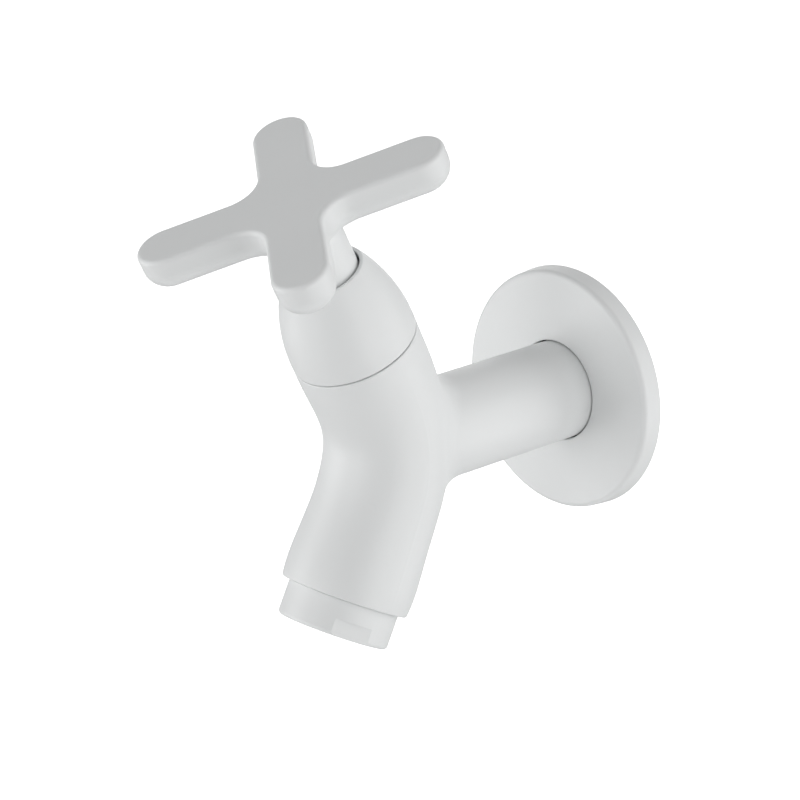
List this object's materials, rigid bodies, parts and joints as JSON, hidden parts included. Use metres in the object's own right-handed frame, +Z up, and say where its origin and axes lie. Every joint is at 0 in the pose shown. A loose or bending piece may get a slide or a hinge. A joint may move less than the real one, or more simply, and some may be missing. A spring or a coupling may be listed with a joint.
{
  "type": "wall-mounted basin tap",
  "caption": "Wall-mounted basin tap with a cross handle, quarter-turn ceramic headwork, leaning barrel, flared spout, sliding wall flange and screw-in aerator.",
  "frame": {"origin": "on the inlet axis in the plane of the wall", "axes": "+Y into the wall along the inlet, +Z up, +X to the right as seen from the room"},
  "size_m": [0.055, 0.1191, 0.1126],
  "materials": {
    "white_paint": "satin white powder coat",
    "brass": "machined",
    "black_rubber": "moulded",
    "white_ceramic": "lapped",
    "stainless_steel": "plain",
    "grey_plastic": "moulded",
    "pale_nylon": "moulded"
  },
  "bodies": {
    "tap": {"tap_body": "white_paint", "bonnet_cover": "white_paint", "cover_o_ring": "black_rubber", "headwork_body": "brass", "headwork_gasket": "pale_nylon", "seat_seal": "black_rubber", "fixed_disc": "white_ceramic", "aerator_housing": "white_paint", "aerator_seal": "black_rubber", "aerator_screen": "stainless_steel", "aerator_jet_plate": "grey_plastic", "aerator_grid": "grey_plastic"},
    "handle": {"cross_handle": "white_paint", "handle_insert": "pale_nylon", "handle_grub_screw": "stainless_steel", "spindle": "brass", "spindle_o_ring_lower": "black_rubber", "spindle_o_ring_upper": "black_rubber", "spindle_circlip": "stainless_steel", "spindle_washer": "pale_nylon", "moving_disc": "white_ceramic"},
    "flange": {"wall_flange": "white_paint", "flange_o_ring": "black_rubber"}
  },
  "joints": [
    {"name": "handle_turn", "type": "hinge", "parent": "tap", "child": "handle", "pos_m": [0, -0.0521, 0], "axis": [0, -0.4384, 0.8988], "range_deg": [0, 90]},
    {"name": "flange_slide", "type": "slide", "parent": "tap", "child": "flange", "axis": [0, -1, 0], "range_m": [0, 0.032]}
  ]
}
